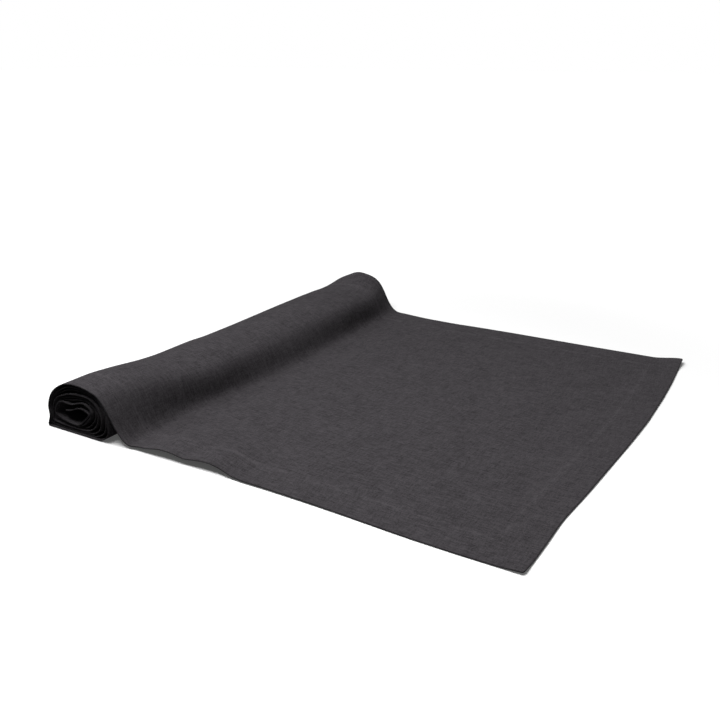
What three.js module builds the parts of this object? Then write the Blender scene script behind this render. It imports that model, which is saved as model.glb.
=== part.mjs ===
// A hemmed linen table runner, half unrolled: a flat part laid out on the table, a short slope
// that climbs to the top of the roll, and the rest of the cloth wound under itself round a
// hollow core. Millimetres, +Z up. X runs along the cloth towards its free end, Y across it.
import * as THREE from "three";

// The runner as it is sewn.
const RUNNER_LENGTH = 1500;
const RUNNER_WIDTH = 450;
const CLOTH = 0.4;
const HEM_WIDTH = 30;
const HEM_TURNING = 0.6;
const THREAD_WIDTH = 0.8;
const THREAD_DEPTH = 0.3;

// The runner as it lies.
const LAID_LENGTH = 344;
const NEAR_CORNER_SET_BACK = 9;
const FAR_CORNER_SET_BACK = 5;
const HEM_SHOULDER = 6;

// The hollow core: how far its wall reaches from the roll's middle to each side.
const CORE_REACH = { right: 8.2, left: 29.2, top: 11.2, bottom: 8.2 };
// The slack that each turn keeps to the next, on top of its own thickness.
const TURN_SLACK = { right: 3.0, left: 0.45, top: 1.4, bottom: 0.05 };
// How square each quarter is (2 is an ellipse, more is squarer), at the outer turn and the core.
const SQUARENESS = {
  upperRight: [2.3, 2.3],
  upperLeft: [2, 2.1],
  lowerLeft: [5, 2.4],
  lowerRight: [3, 1.6],
};

// The slope from the top of the roll down to the table.
const LEAVE_ANGLE = Math.PI / 4;
const SLOPE_RUN = 24;
const SLOPE_SHOULDER = 11;
const SLOPE_TOE = 19;

// The loose inner end, which leaves the turns and sinks into the hollow core.
const TUCK_ANGLE = 1.25 * Math.PI;
const TUCK_SINK = 0.5;

// Clearances.
const SEAM_GAP = 0.05;
const TURN_CLEARANCE = 0.1;
const CUT_GAP = 0.3;
const THREAD_GAP = 0.25;
const MITRE_GAP = 0.7;

const STEPS_PER_TURN = 32;
const SLOPE_STEPS = 12;
const END_STEPS = 12;
const SHORTEST_TUCK = 0.35;

const LINEN = { color: 0x47464a, roughness: 0.92, metalness: 0 };
const TURNED_LINEN = { color: 0x403f43, roughness: 0.93, metalness: 0 };
const SEWING_THREAD = { color: 0x5c5b60, roughness: 0.75, metalness: 0 };

const TURN = 2 * Math.PI;
const HALF_WIDTH = RUNNER_WIDTH / 2;
const HEM_LIFT = HEM_TURNING + SEAM_GAP;
const HEMMED_HEIGHT = HEM_LIFT + CLOTH;
const LAYER = HEMMED_HEIGHT + TURN_CLEARANCE;
const HEM_FACES = { outer: -CLOTH - SEAM_GAP, inner: -CLOTH - HEM_LIFT };
const CLOTH_FACES = { outer: 0, inner: -CLOTH };
const THREAD_FACES = { outer: HEM_FACES.outer, inner: HEM_FACES.outer - THREAD_DEPTH };

// --- The lay: the line that the cloth's right side follows, seen from the near side ---

const mix = (a, b, share) => a + (b - a) * share;
const smooth = (share) => share * share * (3 - 2 * share);
const clamped = (share) => Math.min(1, Math.max(0, share));

// How far the cloth reaches to one side of the roll's middle, so many turns out from the core.
function reach(side, turnsOut) {
  return CORE_REACH[side] + turnsOut * (LAYER + TURN_SLACK[side]);
}

// The height of the roll's middle, which puts the lowest part of the outer turn on the table.
function rollMiddle(endAngle) {
  return reach("bottom", (endAngle - 0.75 * TURN) / TURN);
}

// A point of the wound cloth. Angles run over the top, down the left side and along the bottom,
// from where the slope leaves the roll to the loose end in the core.
function woundPoint(angle, endAngle) {
  const turnsOut = (endAngle - angle) / TURN;
  const inwards = (angle - LEAVE_ANGLE) / (endAngle - LEAVE_ANGLE);
  const across = Math.cos(angle);
  const up = Math.sin(angle);
  const quarter = (up < 0 ? "lower" : "upper") + (across < 0 ? "Left" : "Right");
  const power = 2 / mix(...SQUARENESS[quarter], inwards);
  const halfWidth = reach(across < 0 ? "left" : "right", turnsOut);
  const halfHeight = reach(up < 0 ? "bottom" : "top", turnsOut);
  const x = Math.sign(across) * halfWidth * Math.abs(across) ** power;
  const z = Math.sign(up) * halfHeight * Math.abs(up) ** power;
  const sink = TUCK_SINK * smooth(clamped((angle - endAngle) / TUCK_ANGLE + 1));
  const coreX = (reach("right", turnsOut) - reach("left", turnsOut)) / 2;
  const coreZ = (reach("top", turnsOut) - reach("bottom", turnsOut)) / 2;
  return new THREE.Vector2(mix(x, coreX, sink), rollMiddle(endAngle) + mix(z, coreZ, sink));
}

function woundPoints(endAngle) {
  const points = [];
  const step = TURN / STEPS_PER_TURN;
  for (let angle = LEAVE_ANGLE; angle < endAngle - step / 4; angle += step) {
    points.push(woundPoint(angle, endAngle));
  }
  points.push(woundPoint(endAngle, endAngle));
  return points;
}

function slopeFoot(endAngle) {
  return reach("right", (endAngle - LEAVE_ANGLE) / TURN) + SLOPE_RUN;
}

// The slope leaves the roll along the outer turn and lands level on the table.
function slopePoints(endAngle) {
  const top = woundPoint(LEAVE_ANGLE, endAngle);
  const next = woundPoint(LEAVE_ANGLE + 0.01, endAngle);
  const shoulder = top.clone().sub(next).setLength(SLOPE_SHOULDER).add(top);
  const toe = new THREE.Vector2(slopeFoot(endAngle) - SLOPE_TOE, HEMMED_HEIGHT);
  const foot = new THREE.Vector2(slopeFoot(endAngle), HEMMED_HEIGHT);
  return new THREE.CubicBezierCurve(foot, toe, shoulder, top).getPoints(SLOPE_STEPS);
}

function lengthOf(points) {
  let length = 0;
  points.slice(1).forEach((point, i) => {
    length += point.distanceTo(points[i]);
  });
  return length;
}

// The cloth from the slope's foot to its inner end, for a roll that ends at this angle.
function gatheredPoints(endAngle) {
  return [...slopePoints(endAngle), ...woundPoints(endAngle).slice(1)];
}

// Where the roll has to end for the whole cloth to be as long as it was sewn.
function findEndAngle() {
  let low = LEAVE_ANGLE + TURN;
  let high = LEAVE_ANGLE + 40 * TURN;
  for (let i = 0; i < 60; i++) {
    const middle = (low + high) / 2;
    if (lengthOf(gatheredPoints(middle)) + LAID_LENGTH < RUNNER_LENGTH) low = middle;
    else high = middle;
  }
  return low;
}

const END_ANGLE = findEndAngle();
const TURNS = (END_ANGLE - LEAVE_ANGLE) / TURN;
const WHOLE_TURNS = Math.floor(TURNS - SHORTEST_TUCK);
const SLOPE_FOOT = slopeFoot(END_ANGLE);
const FREE_END = SLOPE_FOOT + LAID_LENGTH;

// Stations of the whole lay, from the inner end to the free end. Each holds its point, the
// outward normal of the cloth's right side, and its distance along the cloth.
function layStations() {
  const points = gatheredPoints(END_ANGLE).reverse();
  points.push(new THREE.Vector2(FREE_END, HEMMED_HEIGHT));
  let along = 0;
  return points.map((point, i) => {
    const before = points[Math.max(0, i - 1)];
    const after = points[Math.min(points.length - 1, i + 1)];
    const ahead = after.clone().sub(point).normalize();
    const behind = point.clone().sub(before).normalize();
    const travel = ahead.add(behind).normalize();
    along += point.distanceTo(before);
    return { x: point.x, z: point.y, nx: -travel.y, nz: travel.x, along };
  });
}

const STATIONS = layStations();
const FOOT_ALONG = STATIONS[STATIONS.length - 2].along;
const LEAVE_ALONG = STATIONS[STATIONS.length - 2 - SLOPE_STEPS].along;
const ROLL_MIDDLE_TO_CENTRE = (FREE_END + Math.min(...STATIONS.map((s) => s.x))) / 2;

function stationAt(along) {
  const next = STATIONS.findIndex((s, i) => i > 0 && s.along >= along);
  const a = STATIONS[next - 1];
  const b = STATIONS[next];
  const share = (along - a.along) / (b.along - a.along);
  return {
    x: mix(a.x, b.x, share),
    z: mix(a.z, b.z, share),
    nx: mix(a.nx, b.nx, share),
    nz: mix(a.nz, b.nz, share),
    along,
  };
}

// The stations from one distance along the cloth to another, marks included.
function stretch(from, to, marks = []) {
  const least = 0.5;
  const apart = (s) => marks.every((mark) => Math.abs(mark - s.along) > least);
  const own = STATIONS.filter((s) => s.along > from + least && s.along < to - least && apart(s));
  const cut = [from, ...marks, to].map(stationAt);
  return [...own, ...cut].sort((a, b) => a.along - b.along);
}

// Distance along the cloth at the end of each whole turn, counted inwards.
function alongAfterTurns(turns) {
  return STATIONS[STATIONS.length - 2 - SLOPE_STEPS - turns * STEPS_PER_TURN].along;
}

// --- Builders ---

// A strip of cloth bent along stations, between two faces of the cloth. span gives its edges
// across the runner at a distance along it.
function bentStrip(stations, faces, span) {
  const steps = stations.length - 1;
  const geometry = new THREE.BoxGeometry(1, 1, 1, steps, 1, 1);
  const position = geometry.getAttribute("position");
  for (let i = 0; i < position.count; i++) {
    const station = stations[Math.round((position.getX(i) + 0.5) * steps)];
    const face = position.getZ(i) > 0 ? faces.outer : faces.inner;
    const [near, far] = span(station.along);
    const y = position.getY(i) > 0 ? far : near;
    position.setXYZ(i, station.x + station.nx * face, y, station.z + station.nz * face);
  }
  geometry.computeVertexNormals();
  return geometry;
}

// A flat piece lying on the table: an outline in plan, between two heights.
function plate(outline, bottom, top) {
  const shape = new THREE.Shape(outline.map(([x, y]) => new THREE.Vector2(x, y)));
  const geometry = new THREE.ExtrudeGeometry(shape, { depth: top - bottom, bevelEnabled: false });
  geometry.translate(0, 0, bottom);
  return geometry;
}

const runner = new THREE.Group();
runner.position.x = -ROLL_MIDDLE_TO_CENTRE;

function add(name, geometry, finish) {
  const mesh = new THREE.Mesh(geometry, new THREE.MeshStandardMaterial(finish));
  mesh.name = name;
  runner.add(mesh);
}

// --- The free end ---

// The free end bows outwards, so its corners lie a little behind its middle.
function freeEndAt(y) {
  const setBack = y < 0 ? NEAR_CORNER_SET_BACK : FAR_CORNER_SET_BACK;
  return FREE_END - setBack * (y / HALF_WIDTH) ** 2;
}

// Points across the runner, at a distance in from the free end.
function alongFreeEnd(inset, from, to) {
  const points = [];
  for (let i = 0; i <= END_STEPS; i++) {
    const y = mix(from, to, i / END_STEPS);
    points.push([freeEndAt(y) - inset, y]);
  }
  return points;
}

// --- Cloth ---

const fullWidth = () => [-HALF_WIDTH, HALF_WIDTH];

// The cloth lies on the table between the hems, and on the turnings along its edges.
function addLaidPanel() {
  const plateau = HEM_WIDTH + 2 * THREAD_GAP + THREAD_WIDTH;
  const sag = plateau + HEM_SHOULDER;
  const middle = HALF_WIDTH - sag;
  const betweenHems = [-3, -2, -1, 0, 1, 2, 3].map((third) => (third * middle) / 3);
  const rows = [-HALF_WIDTH, -HALF_WIDTH + plateau, ...betweenHems, HALF_WIDTH - plateau, HALF_WIDTH];
  const columns = [
    { x: () => SLOPE_FOOT + CUT_GAP, lift: 1 },
    { x: () => SLOPE_FOOT + HEM_SHOULDER, lift: 1 },
    { x: () => SLOPE_FOOT + 2 * HEM_SHOULDER, lift: 0 },
    { x: (y) => freeEndAt(y) - sag, lift: 0 },
    { x: (y) => freeEndAt(y) - plateau, lift: 1 },
    { x: (y) => freeEndAt(y), lift: 1 },
  ];
  const across = rows.length - 1;
  const steps = columns.length - 1;
  const geometry = new THREE.BoxGeometry(1, 1, 1, steps, across, 1);
  const position = geometry.getAttribute("position");
  for (let i = 0; i < position.count; i++) {
    const column = columns[Math.round((position.getX(i) + 0.5) * steps)];
    const y = rows[Math.round((position.getY(i) + 0.5) * across)];
    const onHem = column.lift === 1 || Math.abs(y) > middle + HEM_SHOULDER / 2;
    const top = position.getZ(i) > 0 ? CLOTH : 0;
    position.setXYZ(i, column.x(y), y, (onHem ? HEM_LIFT : 0) + top);
  }
  geometry.computeVertexNormals();
  add("laid_panel", geometry, LINEN);
}

function addSlopePanel() {
  const stations = stretch(LEAVE_ALONG + CUT_GAP, FOOT_ALONG);
  add("slope_panel", bentStrip(stations, CLOTH_FACES, fullWidth), LINEN);
}

function addTurns() {
  for (let turn = 1; turn <= WHOLE_TURNS; turn++) {
    const stations = stretch(alongAfterTurns(turn) + CUT_GAP, alongAfterTurns(turn - 1));
    add(`roll_turn_${turn}`, bentStrip(stations, CLOTH_FACES, fullWidth), LINEN);
  }
}

function addTuckedEnd() {
  const stations = stretch(0, alongAfterTurns(WHOLE_TURNS));
  add("tucked_end", bentStrip(stations, CLOTH_FACES, fullWidth), LINEN);
}

// --- Hems, turned to the underside and mitred at the corners ---

const sides = [
  { name: "near", sign: -1 },
  { name: "far", sign: 1 },
];

// Edges of a strip beside one long side, from one inset to another.
function besideEdge(sign, from, to) {
  const edges = [sign * (HALF_WIDTH - from), sign * (HALF_WIDTH - to)];
  return edges.sort((a, b) => a - b);
}

function addWoundHem({ name, sign }) {
  const width = (along) => Math.min(HEM_WIDTH, along - MITRE_GAP);
  const stations = stretch(2 * MITRE_GAP, FOOT_ALONG, [HEM_WIDTH + MITRE_GAP]);
  const span = (along) => besideEdge(sign, 0, width(along));
  add(`${name}_hem_wound`, bentStrip(stations, HEM_FACES, span), TURNED_LINEN);
}

function addLaidHem({ name, sign }) {
  const foot = SLOPE_FOOT + CUT_GAP;
  const inner = sign * (HALF_WIDTH - HEM_WIDTH);
  const outline = [
    [foot, sign * HALF_WIDTH],
    [foot, inner],
    [freeEndAt(inner) - HEM_WIDTH - MITRE_GAP, inner],
    [freeEndAt(sign * HALF_WIDTH) - MITRE_GAP, sign * HALF_WIDTH],
  ];
  add(`${name}_hem_laid`, plate(outline, 0, HEM_TURNING), TURNED_LINEN);
}

function addFreeEndHem() {
  const outerEdge = HALF_WIDTH - MITRE_GAP;
  const innerEdge = HALF_WIDTH - HEM_WIDTH - MITRE_GAP;
  const outline = [
    ...alongFreeEnd(0, -outerEdge, outerEdge),
    ...alongFreeEnd(HEM_WIDTH, innerEdge, -innerEdge),
  ];
  add("free_end_hem", plate(outline, 0, HEM_TURNING), TURNED_LINEN);
}

function addInnerEndHem() {
  const span = (along) => [-HALF_WIDTH + along + MITRE_GAP, HALF_WIDTH - along - MITRE_GAP];
  add("inner_end_hem", bentStrip(stretch(0, HEM_WIDTH), HEM_FACES, span), TURNED_LINEN);
}

// --- Sewing: a row of stitches beside the edge of each turning, and one along each mitre ---

const THREAD_INSET = HEM_WIDTH + THREAD_GAP;
const THREAD_FROM = THREAD_INSET + THREAD_WIDTH + THREAD_GAP;

function addSideStitching({ name, sign }) {
  const span = () => besideEdge(sign, THREAD_INSET, THREAD_INSET + THREAD_WIDTH);
  const end = RUNNER_LENGTH - FREE_END + freeEndAt(sign * HALF_WIDTH) - THREAD_FROM;
  const stations = stretch(THREAD_FROM, end);
  add(`${name}_side_stitching`, bentStrip(stations, THREAD_FACES, span), SEWING_THREAD);
}

function addEndStitching() {
  const reachAcross = HALF_WIDTH - THREAD_FROM;
  const top = HEM_TURNING;
  const outline = [
    ...alongFreeEnd(THREAD_INSET, -reachAcross, reachAcross),
    ...alongFreeEnd(THREAD_INSET + THREAD_WIDTH, reachAcross, -reachAcross),
  ];
  add("free_end_stitching", plate(outline, top - THREAD_DEPTH, top), SEWING_THREAD);
  const stations = stretch(THREAD_INSET, THREAD_INSET + THREAD_WIDTH);
  const span = () => [-reachAcross, reachAcross];
  add("inner_end_stitching", bentStrip(stations, THREAD_FACES, span), SEWING_THREAD);
}

function addMitreSeams({ name, sign }) {
  const half = (MITRE_GAP - THREAD_GAP) / 2;
  const top = HEM_TURNING;
  const corner = sign * (HALF_WIDTH - 2 * MITRE_GAP);
  const inner = sign * (HALF_WIDTH - HEM_WIDTH);
  const outline = [
    [freeEndAt(corner) - 2 * MITRE_GAP - half, corner],
    [freeEndAt(corner) - 2 * MITRE_GAP + half, corner],
    [freeEndAt(inner) - HEM_WIDTH + half, inner],
    [freeEndAt(inner) - HEM_WIDTH - half, inner],
  ];
  add(`${name}_free_mitre_seam`, plate(outline, top - THREAD_DEPTH, top), SEWING_THREAD);
  const span = (along) => besideEdge(sign, along - half, along + half);
  const stations = stretch(2 * MITRE_GAP, HEM_WIDTH);
  add(`${name}_inner_mitre_seam`, bentStrip(stations, THREAD_FACES, span), SEWING_THREAD);
}

addLaidPanel();
addSlopePanel();
addTurns();
addTuckedEnd();
sides.forEach(addWoundHem);
sides.forEach(addLaidHem);
addFreeEndHem();
addInnerEndHem();
sides.forEach(addSideStitching);
addEndStitching();
sides.forEach(addMitreSeams);

export default runner;
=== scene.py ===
import math

import bpy
import numpy as np
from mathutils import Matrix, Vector


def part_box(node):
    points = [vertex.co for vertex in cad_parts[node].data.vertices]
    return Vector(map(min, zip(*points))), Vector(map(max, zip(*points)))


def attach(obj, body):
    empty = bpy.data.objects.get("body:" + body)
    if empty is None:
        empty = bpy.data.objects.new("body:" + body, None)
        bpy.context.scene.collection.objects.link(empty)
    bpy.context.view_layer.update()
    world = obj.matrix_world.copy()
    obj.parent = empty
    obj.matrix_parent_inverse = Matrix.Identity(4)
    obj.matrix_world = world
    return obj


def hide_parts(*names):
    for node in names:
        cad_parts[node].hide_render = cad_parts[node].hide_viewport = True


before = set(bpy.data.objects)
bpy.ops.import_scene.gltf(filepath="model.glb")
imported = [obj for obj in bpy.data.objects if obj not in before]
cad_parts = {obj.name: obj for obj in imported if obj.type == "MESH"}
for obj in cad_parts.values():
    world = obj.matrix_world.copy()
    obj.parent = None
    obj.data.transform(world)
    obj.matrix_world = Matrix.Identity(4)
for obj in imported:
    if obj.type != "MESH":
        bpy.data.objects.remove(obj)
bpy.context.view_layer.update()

# A hemmed linen table runner, half unrolled. Lengths are in millimetres up to the point where
# a mesh is made, and the shapes are in the row frame: X along the runner towards its free end,
# Y across it, Z up from the table.

MM = 0.001


def in_mm(corner):
    return np.array(corner) / MM


# ---------------------------------------------------------------- the runner as it is sewn

RUNNER_WIDTH = 450.0
HALF_WIDTH = RUNNER_WIDTH / 2
CLOTH = 0.4
SEAM_GAP = 0.05
HEM_TURNING = 0.6
HEM_WIDTH = 30.0
HEM_LIFT = HEM_TURNING + SEAM_GAP
HEMMED_HEIGHT = CLOTH + HEM_LIFT
# The folded edge reaches in to FOLD_REACH, and the single cloth begins at SINGLE_FROM.
FOLD_REACH = 1.2
SINGLE_FROM = 1.3
FOLD_HEIGHT = 0.8
FOLD_HEIGHT_ON_ROLL = 1.15

# ---------------------------------------------------------------- where the frame puts it

ROLL_LEFT = in_mm(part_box("roll_turn_1")[0])[0]
SLOPE_FOOT = in_mm(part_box("slope_panel")[1])[0]
FREE_END = in_mm(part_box("free_end_hem")[1])[0]

# ---------------------------------------------------------------- the roll's section
# Rings of the roll, as (from the roll's left side, above the table) at sixteen spokes that start
# at the right and run over the top, a quarter of the way round on each line. The near end, the
# middle and the far end of the roll each have an outer ring and a core ring.

OUTER_RING_NEAR = [
    (76.2, 18.5), (73.6, 29.2), (67.4, 38.2), (59.0, 42.8),
    (43.5, 45.4), (28.2, 44.1), (15.2, 37.6), (7.6, 29.8),
    (3.4, 19.6), (3.4, 10.6), (0.4, 0.8), (11.5, 0.0),
    (28.8, 0.0), (46.8, 0.0), (64.2, 0.2), (74.8, 7.0),
]
OUTER_RING_MIDDLE = [
    (79.5, 15.5), (77.5, 24.3), (70.5, 31.0), (59.5, 35.3),
    (45.0, 37.2), (30.0, 36.0), (16.0, 32.0), (6.0, 25.2),
    (1.2, 16.5), (1.5, 8.0), (6.5, 1.2), (17.5, 0.0),
    (31.0, 0.0), (49.0, 0.0), (66.0, 0.8), (76.3, 6.8),
]
OUTER_RING_FAR = [
    (79.2, 18.0), (77.2, 29.4), (70.9, 38.5), (61.9, 44.0),
    (45.2, 46.4), (31.0, 41.2), (17.2, 34.2), (6.6, 26.2),
    (0.6, 17.5), (1.6, 7.0), (7.5, 1.0), (17.8, 0.0),
    (31.8, 0.0), (48.8, 0.0), (63.0, 2.2), (73.0, 8.5),
]
CORE_RING_NEAR = [
    (54.3, 21.4), (53.6, 26.0), (49.8, 29.0), (44.3, 30.3),
    (37.8, 28.6), (31.3, 27.0), (24.3, 27.3), (17.3, 27.2),
    (11.8, 21.5), (9.4, 15.5), (10.8, 11.6), (18.8, 8.6),
    (27.3, 7.5), (35.3, 7.2), (41.8, 9.6), (48.8, 15.6),
]
CORE_RING_MIDDLE = [
    (53.0, 16.0), (53.0, 20.6), (48.6, 24.0), (42.0, 25.6),
    (34.5, 25.0), (27.0, 23.8), (20.0, 22.6), (14.5, 20.4),
    (11.4, 16.4), (10.6, 12.2), (13.0, 9.2), (20.0, 7.4),
    (28.0, 6.6), (36.0, 6.6), (43.0, 8.0), (49.0, 11.4),
]
CORE_RING_FAR = [
    (52.0, 18.0), (52.6, 24.5), (48.0, 28.8), (41.0, 30.6),
    (33.0, 30.2), (25.0, 28.6), (18.0, 26.0), (13.2, 22.0),
    (11.0, 17.6), (11.4, 13.0), (14.4, 9.6), (20.8, 7.9),
    (28.3, 7.4), (36.3, 7.5), (43.0, 9.2), (48.6, 12.6),
]
SPOKES = len(OUTER_RING_NEAR)
# The turns, counted out from the core, that lie on the rings, and where the last one leaves.
OUTER_RING_TURN = 6.7
CORE_RING_TURN = 1.2
LEAVE_ANGLE = math.pi / 4
TURNS = 7.31
# How far each turn settles away from even spacing, in turns, at turns 0 to 8 from the core. It
# settles most on the side at LOOSE_ANGLE.
SETTLING = [0.0, 0.0, 0.22, 0.0, -0.12, 0.12, 0.0, 0.0, 0.0]
LOOSE_ANGLE = math.pi / 3
# The lowest that the wound cloth may come to the table.
LEAST_HEIGHT = 0.02

# The loose inner end: where it leaves the core's floor, and its path to the cut end.
TAIL_TURN = 0.74
# A short way out along the winding, in turns, for the direction in which the tail joins it.
TAIL_JOIN = 0.05
TAIL_NEAR = [
    (34.5, 7.4), (40.5, 9.3), (46.3, 14.2), (51.4, 18.9), (52.2, 21.4), (50.2, 23.2),
    (46.6, 24.6), (42.6, 25.2), (37.3, 24.2), (32.3, 21.9), (27.0, 20.0), (21.0, 19.2),
]
TAIL_MIDDLE = [
    (35.0, 7.0), (41.0, 8.4), (46.4, 11.6), (50.2, 15.2), (50.4, 18.4), (48.0, 20.4),
    (44.0, 21.4), (40.0, 21.2), (35.4, 19.8), (30.6, 18.2), (26.0, 17.0), (20.8, 16.6),
]
TAIL_FAR = [
    (35.5, 7.9), (41.5, 9.7), (46.5, 13.2), (49.6, 17.4), (49.6, 21.4), (47.0, 24.4),
    (43.0, 25.9), (38.5, 25.6), (34.0, 24.0), (29.6, 22.0), (25.2, 20.4), (20.6, 19.8),
]

# A short way back round the roll, in turns, for the direction in which the cloth leaves it.
SHORT_TURN = 0.004
# The slope from the roll to the table, at the roll's ends and in its middle.
SLOPE_SHOULDER_ENDS, SLOPE_SHOULDER_MIDDLE = 14.0, 17.0
SLOPE_TOE_ENDS, SLOPE_TOE_MIDDLE = 19.0, 13.0
# Between its ends the slack outer turn leans out over the slope's foot: by LEAN at LEAN_ANGLE,
# and less for LEAN_SPREAD radians either side. LEAN_LINE is (across, share of that lean).
LEAN, LEAN_ANGLE, LEAN_SPREAD = 8.5, math.pi / 7, 1.3
LEAN_LINE = [
    (-225, 0.0), (-165, 0.0), (-130, 0.2), (-80, 0.62), (60, 0.65), (120, 0.9), (190, 0.95),
    (236, 0.0),
]
# The roll has flattened unevenly along its length: (across, share of its rings' height).
CROWN_LINE = [
    (-225, 1.0), (-58, 1.0), (-34, 0.957), (10, 0.95), (48, 0.96), (94, 0.975), (143, 0.975),
    (169, 0.963), (190, 0.93), (205, 0.93), (217, 0.965), (228, 1.01), (236, 1.02),
]
# How far the slope is the middle's steep one, not the ends': (across, share).
STEEP_LINE = [(-232, 0.0), (-220, 0.1), (-178, 1.0), (190, 1.0), (236, 0.0)]
# Where the slope meets the table: (across, how far beyond the frame's slope foot).
FOOT_LINE = [
    (-230, 1.5), (-212, -4.0), (-186, -11.0), (-137, -11.5), (-86, -6.0), (-28, -1.0), (42, 0.8),
    (116, -2.0), (173, -5.0), (205, -0.5), (230, 4.5),
]

# How far each turn has slid across, below 0 towards the near end, at turns 0 to 8 from the core.
SIDE_SLIP = [-1.0, -1.8, 0.0, 0.6, -2.0, 0.2, -1.2, -3.2, -2.6]

# The roll is slacker away from its hemmed ends: where each end's shape gives way to the middle's.
NEAR_END_HOLDS, NEAR_END_GONE = -200.0, -95.0
FAR_END_GONE, FAR_END_HOLDS = 183.0, 234.0

# The free end's line: (across, how far it stands out from the frame's free end).
END_LINE = [
    (-232, -8.4), (-205, -7.6), (-180, -7.6), (-150, -8.0), (-105, -4.6), (-45, -1.4), (0, 0.9),
    (50, 2.6), (110, 2.2), (158, 0.6), (205, -2.2), (225, -2.6),
]

# The long edges of the laid part, from the slope's foot: (run, lift off the table, pull inwards).
NEAR_EDGE = [
    (-14, 1.0, 0.0), (-4, 2.6, 1.0), (10, 4.0, 1.0), (24, 6.9, 1.0), (37, 6.8, 1.5), (50, 4.4, 2.0),
    (62, 6.4, 2.5), (75, 7.4, 3.0), (87, 5.4, 3.0), (98, 2.0, 2.5), (110, 0.9, 2.6),
    (131, 0.8, 3.0), (161, 0.5, 2.8), (186, 0.4, 2.2), (206, 0.1, 1.6), (236, 0.0, 0.2),
    (256, 0.0, -0.6), (290, 0.0, -0.9), (320, 0.0, -0.5), (344, 0.0, -0.7),
]
FAR_EDGE = [
    (-20, 0.0, 0.0), (-6, 1.0, 0.5), (10, 0.9, 1.6), (40, 0.2, 3.8), (80, 0.0, 4.2),
    (110, 0.0, 2.6), (150, 0.0, 1.6), (250, 0.0, 1.2), (290, 0.0, 0.6), (344, 0.0, 0.0),
]


def smooth(share):
    share = np.clip(share, 0.0, 1.0)
    return share * share * (3 - 2 * share)


def mix(a, b, share):
    return a + (b - a) * share


def flowing(knots, reach):
    """A smooth line through (place, value) knots, with its bends eased over reach either way."""
    places, values = np.array(knots, float).T
    fine = np.arange(places[0] - 4 * reach, places[-1] + 4 * reach, 1.0)
    weight = np.hanning(2 * reach + 1)
    line = np.interp(fine, places, values)
    padded = np.pad(line, reach, mode="edge")
    eased = np.convolve(padded, weight / weight.sum(), mode="valid")
    return lambda x: np.interp(x, fine, eased)


foot_shift = flowing(FOOT_LINE, 30)
end_shift = flowing(END_LINE, 16)
near_lift = flowing([(run, lift) for run, lift, _ in NEAR_EDGE], 6)
near_pull = flowing([(run, pull) for run, _, pull in NEAR_EDGE], 10)
far_lift = flowing([(run, lift) for run, lift, _ in FAR_EDGE], 10)
far_pull = flowing([(run, pull) for run, _, pull in FAR_EDGE], 14)
lean_share = flowing(LEAN_LINE, 20)
crown_share = flowing(CROWN_LINE, 9)
steep_share = flowing(STEEP_LINE, 12)


def end_shares(across):
    """How much each end of the roll shapes the section here; the middle takes the rest."""
    near = 1 - smooth((across - NEAR_END_HOLDS) / (NEAR_END_GONE - NEAR_END_HOLDS))
    far = smooth((across - FAR_END_GONE) / (FAR_END_HOLDS - FAR_END_GONE))
    return near, far


def cubic(points, place, closed):
    """A smooth line through an array of points (..., count, 2), at places counted in points."""
    count = points.shape[-2]
    base = np.floor(place).astype(int)
    if not closed:
        base = np.clip(base, 0, count - 2)
    t = (place - base)[..., None]
    rows = np.arange(len(place))

    def pick(step):
        at = base + step
        at = at % count if closed else np.clip(at, 0, count - 1)
        return points[rows, at]

    a, b, c, d = (pick(step) for step in (-1, 0, 1, 2))
    return 0.5 * (2 * b + (c - a) * t + (2 * a - 5 * b + 4 * c - d) * t**2 + (3 * b - a - 3 * c + d) * t**3)


def between_ends(near, middle, far, across):
    """Each point's own control points, drawn from the near end's, the middle's and the far end's."""
    near_share, far_share = (share[:, None, None] for share in end_shares(across))
    near, middle, far = np.array(near), np.array(middle), np.array(far)
    return middle + (near - middle) * near_share + (far - middle) * far_share


def even_line(values, place):
    return np.interp(place, np.arange(len(values)), values)


def wound_point(turns_out, across):
    """The wound cloth, so many turns out from its inner end."""
    angle = LEAVE_ANGLE + (TURNS - turns_out) * 2 * math.pi
    spoke = (angle / (2 * math.pi) * SPOKES) % SPOKES
    outer = cubic(between_ends(OUTER_RING_NEAR, OUTER_RING_MIDDLE, OUTER_RING_FAR, across), spoke, True)
    off_lean = np.abs((angle - LEAN_ANGLE + math.pi) % (2 * math.pi) - math.pi)
    outer[:, 0] += LEAN * lean_share(across) * smooth(1 - off_lean / LEAN_SPREAD)
    core = cubic(between_ends(CORE_RING_NEAR, CORE_RING_MIDDLE, CORE_RING_FAR, across), spoke, True)
    loose = 0.5 + 0.5 * np.cos(angle - LOOSE_ANGLE)
    settled = turns_out + even_line(SETTLING, turns_out) * loose
    share = (settled - CORE_RING_TURN) / (OUTER_RING_TURN - CORE_RING_TURN)
    point = core + (outer - core) * share[:, None]
    point[:, 1] = np.maximum(point[:, 1] * crown_share(across), LEAST_HEIGHT)
    return point


def tail_point(share, across):
    """The loose inner end. share runs from the cut end, 0, to the core's floor, 1."""
    path = between_ends(TAIL_NEAR, TAIL_MIDDLE, TAIL_FAR, across)
    joins = [wound_point(np.full(len(across), TAIL_TURN + step), across) for step in (0.0, TAIL_JOIN)]
    control = np.concatenate([joins[1][:, None], joins[0][:, None], path], axis=1)
    last = control.shape[1] - 1
    return cubic(control, (1 - share) * (last - 1) + 1, False)


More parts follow.
